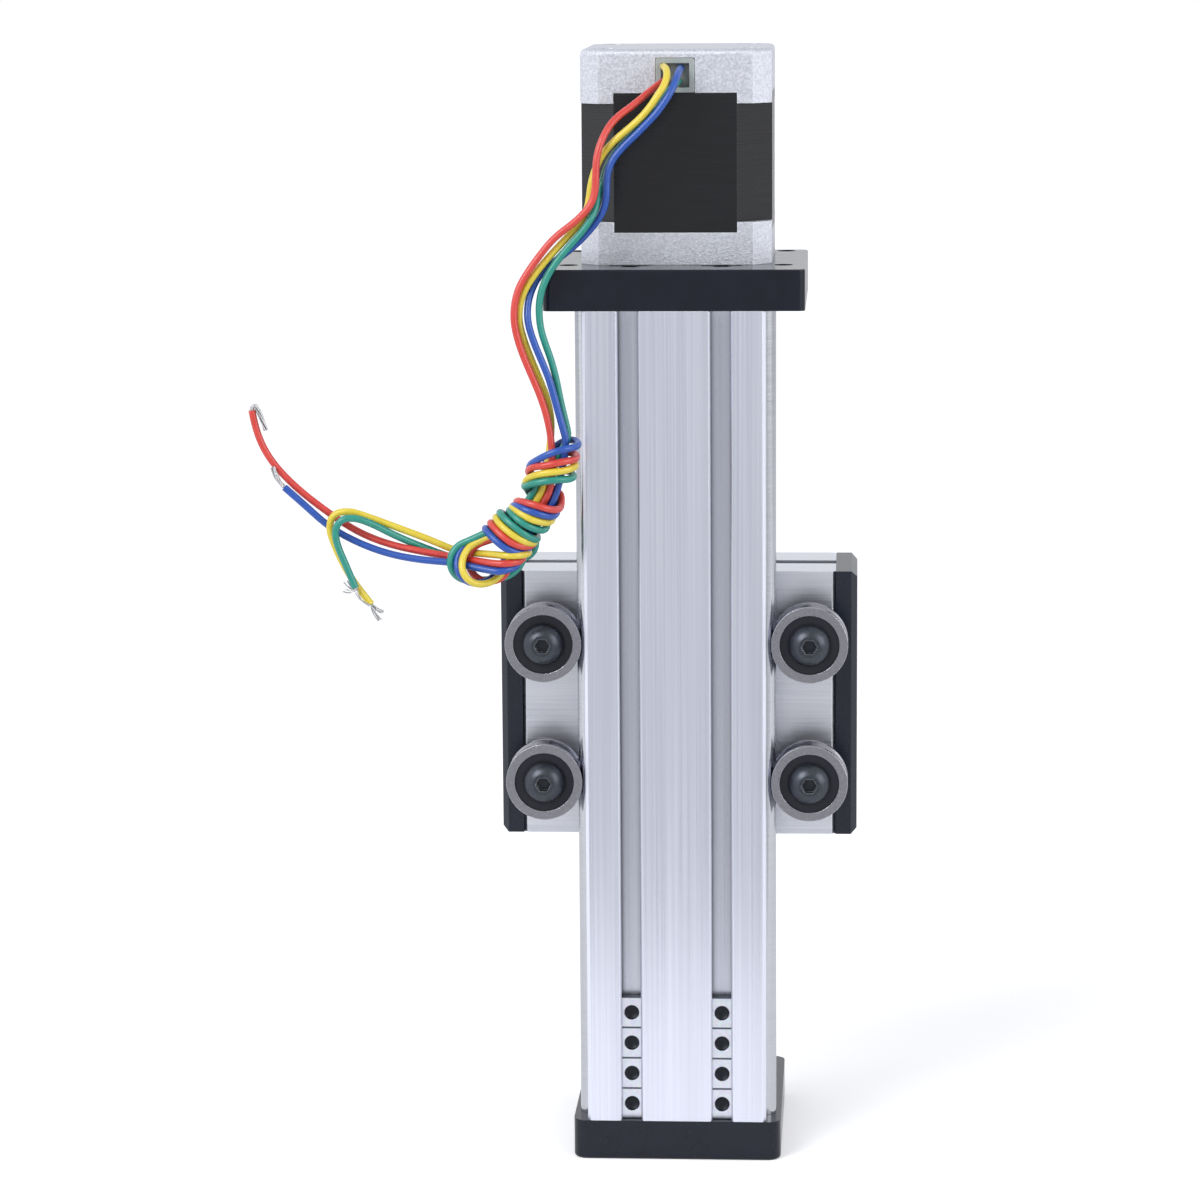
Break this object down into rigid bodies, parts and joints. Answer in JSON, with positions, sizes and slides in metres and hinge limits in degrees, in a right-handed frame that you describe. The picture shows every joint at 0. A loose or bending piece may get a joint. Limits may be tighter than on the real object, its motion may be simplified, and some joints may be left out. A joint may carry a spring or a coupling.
{
  "type": "ball screw linear module",
  "caption": "Compact linear actuator: a stepper motor turns a ball screw that moves a roller guided carriage along a slotted aluminium base.",
  "frame": {"origin": "middle of the footprint on the floor, under the standing module, leads left aside", "axes": "+Z along the screw towards the motor, +Y out of the carriage's table, -Y out of the T-slot face, +X across"},
  "size_m": [0.1329, 0.0651, 0.247],
  "materials": {
    "extrusion_aluminium": "satin anodised extrusion",
    "carriage_aluminium": "milled",
    "black_anodised": "black anodised, satin",
    "bearing_block_black": "black anodised",
    "cap_plastic": "moulded",
    "cast_aluminium": "cast and bead blasted",
    "lamination_steel": "black coated stack",
    "ground_steel": "ground and hardened",
    "bearing_steel": "ground",
    "bush_steel": "turned, nickel plated",
    "black_oxide": "black oxide",
    "seal_rubber": "moulded nitrile rubber",
    "zinc_steel": "zinc plated",
    "coupling_aluminium": "turned",
    "spider_rubber": "polyurethane",
    "winding_copper": "enamelled",
    "rotor_steel": "laminated",
    "rotor_magnet": "ground",
    "outlet_plastic": "moulded",
    "wire_red": "PVC",
    "wire_yellow": "PVC",
    "wire_green": "PVC",
    "wire_blue": "PVC",
    "wire_hank": "four PVC wires wound together",
    "tinned_copper": "tinned strands"
  },
  "bodies": {
    "rail": {"base_extrusion": "extrusion_aluminium", "bearing_block": "bearing_block_black", "block_bearings": "bearing_steel", "block_screws": "black_oxide", "end_plate": "black_anodised", "end_plate_screws": "black_oxide", "free_end_bearing": "bearing_steel", "guide_shafts": "ground_steel", "lead_blue": "wire_blue", "lead_frame": "outlet_plastic", "lead_green": "wire_green", "lead_hank": "wire_hank", "lead_red": "wire_red", "lead_yellow": "wire_yellow", "motor_bearings": "bearing_steel", "motor_case_screws": "black_oxide", "motor_coils": "winding_copper", "motor_front_cap": "cast_aluminium", "motor_mounting_screws": "black_oxide", "motor_plate": "black_anodised", "motor_plate_screws": "black_oxide", "motor_rear_cap": "cast_aluminium", "motor_stator": "lamination_steel", "tail_blue": "wire_blue", "tail_green": "wire_green", "tail_red": "wire_red", "tail_yellow": "wire_yellow", "tinned_tips": "tinned_copper"},
    "screw": {"ball_screw": "ground_steel", "lock_nut": "bush_steel", "coupling_screw_hub": "coupling_aluminium", "coupling_motor_hub": "coupling_aluminium", "coupling_spider": "spider_rubber", "coupling_screws": "black_oxide", "motor_shaft": "ground_steel", "rotor_cups": "rotor_steel", "rotor_magnet": "rotor_magnet"},
    "carriage": {"carriage_body": "carriage_aluminium", "end_cap_left": "cap_plastic", "end_cap_right": "cap_plastic", "ball_nut": "ground_steel", "nut_wipers": "seal_rubber", "nut_screws": "black_oxide", "roller_inner_rings": "bearing_steel", "plain_bushes": "bush_steel", "eccentric_bushes": "bush_steel", "roller_bolts": "black_oxide"},
    "roller_upper_left": {"roller_ring_upper_left": "bearing_steel", "roller_seals_upper_left": "seal_rubber"},
    "roller_upper_right": {"roller_ring_upper_right": "bearing_steel", "roller_seals_upper_right": "seal_rubber"},
    "roller_lower_left": {"roller_ring_lower_left": "bearing_steel", "roller_seals_lower_left": "seal_rubber"},
    "roller_lower_right": {"roller_ring_lower_right": "bearing_steel", "roller_seals_lower_right": "seal_rubber"},
    "nuts_left": {"square_nuts_left": "zinc_steel"},
    "nuts_right": {"square_nuts_right": "zinc_steel"}
  },
  "joints": [
    {"name": "screw_turn", "type": "hinge", "parent": "rail", "child": "screw", "pos_m": [0, 0.006, 0.1], "axis": [0, 0, 1], "range_deg": [-4510, 4510]},
    {"name": "carriage_slide", "type": "slide", "parent": "rail", "child": "carriage", "axis": [0, 0, 1], "range_m": [-0.05, 0.05]},
    {"name": "roller_turn_upper_left", "type": "hinge", "parent": "carriage", "child": "roller_upper_left", "pos_m": [-0.0295, -0.0185, 0.1166], "axis": [0, 1, 0], "range_deg": [-390, 390]},
    {"name": "roller_turn_upper_right", "type": "hinge", "parent": "carriage", "child": "roller_upper_right", "pos_m": [0.0295, -0.0185, 0.1166], "axis": [0, 1, 0], "range_deg": [-390, 390]},
    {"name": "roller_turn_lower_left", "type": "hinge", "parent": "carriage", "child": "roller_lower_left", "pos_m": [-0.0295, -0.0185, 0.0854], "axis": [0, 1, 0], "range_deg": [-390, 390]},
    {"name": "roller_turn_lower_right", "type": "hinge", "parent": "carriage", "child": "roller_lower_right", "pos_m": [0.0295, -0.0185, 0.0854], "axis": [0, 1, 0], "range_deg": [-390, 390]},
    {"name": "nuts_slide_left", "type": "slide", "parent": "rail", "child": "nuts_left", "axis": [0, 0, 1], "range_m": [0, 0.1535]},
    {"name": "nuts_slide_right", "type": "slide", "parent": "rail", "child": "nuts_right", "axis": [0, 0, 1], "range_m": [0, 0.1535]}
  ],
  "couplings": [
    {"joint": "screw_turn", "follows": "carriage_slide", "rad_per_m": -1570.8},
    {"joint": "roller_turn_upper_left", "follows": "carriage_slide", "rad_per_m": 135.14},
    {"joint": "roller_turn_upper_right", "follows": "carriage_slide", "rad_per_m": -135.14},
    {"joint": "roller_turn_lower_left", "follows": "carriage_slide", "rad_per_m": 135.14},
    {"joint": "roller_turn_lower_right", "follows": "carriage_slide", "rad_per_m": -135.14}
  ]
}
